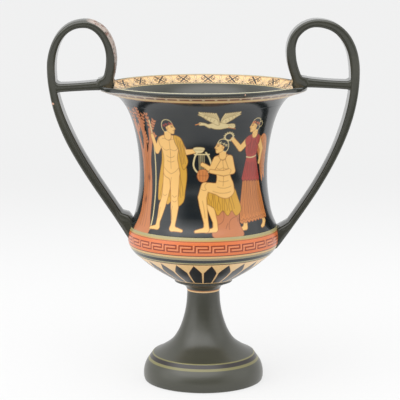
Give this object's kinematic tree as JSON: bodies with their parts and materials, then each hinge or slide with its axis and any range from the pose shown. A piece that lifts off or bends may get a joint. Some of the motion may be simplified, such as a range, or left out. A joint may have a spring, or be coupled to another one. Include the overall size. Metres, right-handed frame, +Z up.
{
  "type": "greek kantharos vase",
  "caption": "Black-glazed clay drinking cup on a high turned foot, with raised strap handles looped above a flared lip, painted in the red-figure manner.",
  "frame": {"origin": "centre of the foot's resting ring, on the surface the vase stands on", "axes": "+Z up along the turning axis; the handles rise at -X and +X; the main picture faces -Y"},
  "size_m": [0.2644, 0.17, 0.3139],
  "materials": {
    "glazed_clay": "glossy black glaze with flush painted figures, bands and lines in orange, red, cream and mustard"
  },
  "bodies": {
    "root": {"kantharos": "glazed_clay"}
  },
  "joints": []
}
